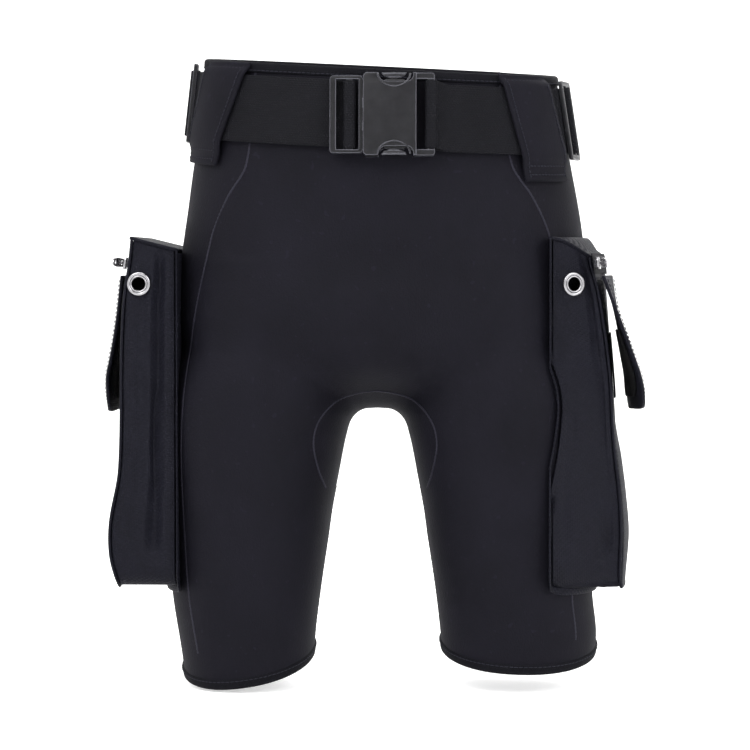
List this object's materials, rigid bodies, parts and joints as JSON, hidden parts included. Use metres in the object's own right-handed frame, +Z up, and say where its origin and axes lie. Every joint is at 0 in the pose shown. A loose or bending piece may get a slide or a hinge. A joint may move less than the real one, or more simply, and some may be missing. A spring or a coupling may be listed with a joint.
{
  "type": "dive shorts with weight belt",
  "caption": "Black neoprene diving shorts with a webbing weight belt, a side release buckle and bellows thigh pockets.",
  "frame": {"origin": "centre of the waist opening, level with its top edge, from which the garment hangs", "axes": "+Z up out of the waist opening; the front with the buckle faces -Y; +X is the wearer's left"},
  "size_m": [0.4152, 0.2579, 0.4814],
  "materials": {
    "neoprene": "nylon jersey over closed-cell neoprene",
    "binding": "knitted tape",
    "webbing": "matt woven nylon webbing",
    "pocket_cloth": "coarse woven nylon, matt",
    "plastic": "semi-gloss moulded acetal",
    "nickel": "bright nickel plate",
    "hook_tape": "hook and loop tape"
  },
  "bodies": {
    "root": {"front_panel": "neoprene", "right_rear_panel": "neoprene", "left_rear_panel": "neoprene", "crotch_gusset": "neoprene", "waist_binding": "binding", "right_leg_hem": "binding", "left_leg_hem": "binding", "right_front_loop": "neoprene", "left_front_loop": "neoprene", "right_rear_loop": "neoprene", "left_rear_loop": "neoprene", "belt_webbing": "webbing", "right_strap_return": "webbing", "left_strap_return": "webbing", "buckle_female": "plastic", "right_pocket_back": "pocket_cloth", "right_pocket_face": "pocket_cloth", "right_pocket_gusset": "pocket_cloth", "right_pocket_top": "pocket_cloth", "right_loop_patch": "hook_tape", "right_zip_teeth": "plastic", "right_front_eyelet": "nickel", "right_drain_eyelet": "nickel", "left_pocket_back": "pocket_cloth", "left_pocket_face": "pocket_cloth", "left_pocket_gusset": "pocket_cloth", "left_pocket_top": "pocket_cloth", "left_loop_patch": "hook_tape", "left_zip_teeth": "plastic", "left_front_eyelet": "nickel", "left_drain_eyelet": "nickel"},
    "buckle_male_half": {"buckle_male": "plastic", "buckle_strap": "webbing"},
    "buckle_upper_prong": {"buckle_prong_upper": "plastic"},
    "buckle_lower_prong": {"buckle_prong_lower": "plastic"},
    "right_glide_body": {"right_glide": "plastic", "right_glide_wrap": "webbing"},
    "right_slider_body": {"right_zip_slider": "nickel"},
    "right_pull_body": {"right_zip_pull": "nickel"},
    "right_flap_body": {"right_flap": "pocket_cloth", "right_flap_hook": "hook_tape"},
    "left_glide_body": {"left_glide": "plastic", "left_glide_wrap": "webbing"},
    "left_slider_body": {"left_zip_slider": "nickel"},
    "left_pull_body": {"left_zip_pull": "nickel"},
    "left_flap_body": {"left_flap": "pocket_cloth", "left_flap_hook": "hook_tape"}
  },
  "joints": [
    {"name": "buckle_release", "type": "slide", "parent": "root", "child": "buckle_male_half", "axis": [-1, -0.006, 0], "range_m": [0, 0.034], "deforming": ["buckle_strap"]},
    {"name": "upper_prong_squeeze", "type": "hinge", "parent": "buckle_male_half", "child": "buckle_upper_prong", "pos_m": [-0.00124, -0.10797, -0.02246], "axis": [-0.0059, 0.9952, -0.0977], "range_deg": [0, 8], "stiffness_Nm_per_rad": 0.5},
    {"name": "lower_prong_squeeze", "type": "hinge", "parent": "buckle_male_half", "child": "buckle_lower_prong", "pos_m": [-0.00122, -0.11178, -0.06127], "axis": [0.0059, -0.9952, 0.0977], "range_deg": [0, 8], "stiffness_Nm_per_rad": 0.5},
    {"name": "right_glide_adjust", "type": "hinge", "parent": "root", "child": "right_glide_body", "pos_m": [-0.01245, -0.00316, -0.02849], "axis": [-0.1097, -0.0057, -0.9939], "range_deg": [-1.5, 7], "deforming": ["right_strap_return", "right_glide_wrap"]},
    {"name": "left_glide_adjust", "type": "hinge", "parent": "root", "child": "left_glide_body", "pos_m": [0.05844, -0.00891, -0.04328], "axis": [-0.1484, 0.0383, 0.9882], "range_deg": [-2, 10], "deforming": ["left_strap_return", "left_glide_wrap"]},
    {"name": "right_zip_slide", "type": "slide", "parent": "root", "child": "right_slider_body", "axis": [0.0032, 1, 0], "range_m": [0, 0.1]},
    {"name": "right_pull_swing", "type": "hinge", "parent": "right_slider_body", "child": "right_pull_body", "pos_m": [-0.18917, -0.04898, -0.15022], "axis": [-0.1422, 0.0005, -0.9898], "range_deg": [-8, 135]},
    {"name": "right_flap_lift", "type": "hinge", "parent": "root", "child": "right_flap_body", "pos_m": [-0.18881, 0.00604, -0.16002], "axis": [0.0109, 0.9999, 0], "range_deg": [-1, 95], "stiffness_Nm_per_rad": 0.2},
    {"name": "left_zip_slide", "type": "slide", "parent": "root", "child": "left_slider_body", "axis": [0.1044, 0.9945, 0], "range_m": [0, 0.1]},
    {"name": "left_pull_swing", "type": "hinge", "parent": "left_slider_body", "child": "left_pull_body", "pos_m": [0.1707, -0.06128, -0.15028], "axis": [-0.1317, 0.0138, 0.9912], "range_deg": [-8, 135]},
    {"name": "left_flap_lift", "type": "hinge", "parent": "root", "child": "left_flap_body", "pos_m": [0.17631, -0.00636, -0.16002], "axis": [-0.0912, -0.9958, 0], "range_deg": [-3, 95], "stiffness_Nm_per_rad": 0.2}
  ]
}
